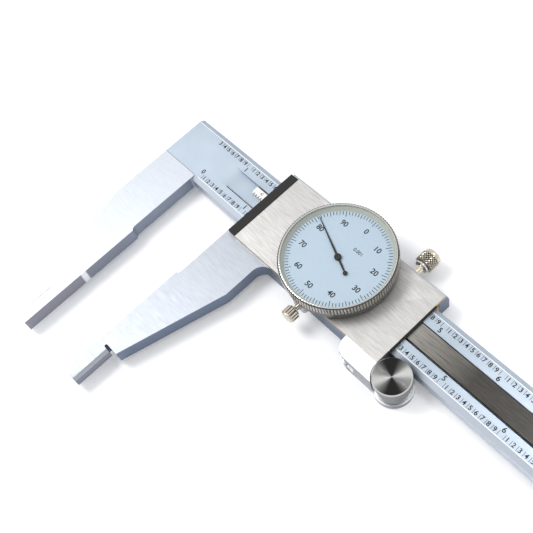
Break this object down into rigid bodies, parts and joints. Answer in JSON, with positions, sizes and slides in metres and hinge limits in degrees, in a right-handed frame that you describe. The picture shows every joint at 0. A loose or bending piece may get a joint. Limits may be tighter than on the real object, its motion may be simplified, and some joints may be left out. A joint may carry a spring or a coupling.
{
  "type": "dial caliper",
  "caption": "Long-jaw dial caliper with round measuring nibs, engraved beam, geared dial on a sliding jaw, thumb roller and lock screw.",
  "frame": {"origin": "on the beam's flat back face, on its centre line, in the plane of the fixed jaw's measuring face", "axes": "+X along the beam from the fixed jaw towards the free end, +Y across the beam away from the jaws, +Z out of the dial"},
  "size_m": [0.4118, 0.1242, 0.0192],
  "materials": {
    "steel_satin": "satin chrome, engraved scales",
    "steel_bright": "bright ground steel",
    "steel_screw": "turned steel",
    "steel_plain": "ground steel",
    "steel_brushed": "brushed stainless steel",
    "steel_plate": "fine brushed stainless steel",
    "wiper_black": "matt black rubber",
    "brass_gib": "rolled brass",
    "strip_steel": "long-grain brushed spring steel",
    "case_steel": "turned steel",
    "brass_movement": "milled brass",
    "steel_gear": "hardened steel",
    "spring_steel": "blued spring steel",
    "pointer_black": "black lacquered aluminium",
    "dial_paint": "pale blue enamel with black divisions",
    "crystal_clear": "clear acrylic",
    "bezel_chrome": "knurled satin chrome",
    "nickel_knurled": "nickel-plated, knurled",
    "steel_polished": "polished steel",
    "roller_turned": "face-turned, polished steel"
  },
  "bodies": {
    "beam_body": {"beam": "steel_satin", "rack": "steel_bright", "rack_screws": "steel_screw", "end_stop": "steel_plain", "end_stop_screws": "steel_screw"},
    "slider": {"slider_body": "steel_brushed", "front_plate": "steel_plate", "plate_screws": "steel_screw", "front_wiper": "wiper_black", "rear_wiper": "wiper_black", "gib": "brass_gib", "gib_screws": "steel_screw", "cover_strip": "strip_steel", "dial_case": "case_steel", "case_screws": "steel_screw", "movement_bridge": "brass_movement", "bridge_screws": "steel_screw", "bezel_retainer": "spring_steel", "bezel_clamp": "steel_plain", "roller_bracket": "steel_polished", "bracket_screws": "steel_screw", "roller_axle": "steel_gear", "roller_washer": "steel_plain"},
    "gear_arbor": {"rack_pinion": "steel_gear", "drive_gear": "brass_movement", "backlash_gear": "brass_movement", "backlash_spring": "spring_steel"},
    "pointer_arbor": {"centre_pinion": "steel_gear", "pointer": "pointer_black"},
    "bezel_body": {"bezel": "bezel_chrome", "crystal": "crystal_clear", "dial_face": "dial_paint"},
    "thumb_roller_body": {"thumb_roller": "roller_turned"},
    "lock_screw_body": {"lock_screw": "nickel_knurled"},
    "clamp_screw_body": {"bezel_clamp_screw": "nickel_knurled"}
  },
  "joints": [
    {"name": "slider_slide", "type": "slide", "parent": "beam_body", "child": "slider", "axis": [1, 0, 0], "range_m": [-0.02747, 0.27733]},
    {"name": "gear_spin", "type": "hinge", "parent": "slider", "child": "gear_arbor", "pos_m": [0.06513, -0.0012, 0.00925], "axis": [0, 0, 1], "continuous": true},
    {"name": "pointer_spin", "type": "hinge", "parent": "slider", "child": "pointer_arbor", "pos_m": [0.07223, 0, 0.00925], "axis": [0, 0, 1], "continuous": true},
    {"name": "bezel_turn", "type": "hinge", "parent": "slider", "child": "bezel_body", "pos_m": [0.07223, 0, 0.00895], "axis": [0, 0, 1], "continuous": true},
    {"name": "roller_spin", "type": "hinge", "parent": "slider", "child": "thumb_roller_body", "pos_m": [0.11537, -0.0181, 0], "axis": [0, 0, 1], "continuous": true},
    {"name": "lock_screw_turn", "type": "hinge", "parent": "slider", "child": "lock_screw_body", "pos_m": [0.09237, 0.0179, 0.0035], "axis": [0, 1, 0], "range_deg": [-60, 180]},
    {"name": "bezel_clamp_turn", "type": "hinge", "parent": "slider", "child": "clamp_screw_body", "pos_m": [0.07223, -0.01765, 0.00635], "axis": [0, -1, 0], "range_deg": [-60, 180]}
  ],
  "couplings": [
    {"joint": "gear_spin", "follows": "slider_slide", "rad_per_m": 494.74},
    {"joint": "pointer_spin", "follows": "slider_slide", "rad_per_m": -2473.7},
    {"joint": "roller_spin", "follows": "slider_slide", "rad_per_m": 149.25}
  ]
}
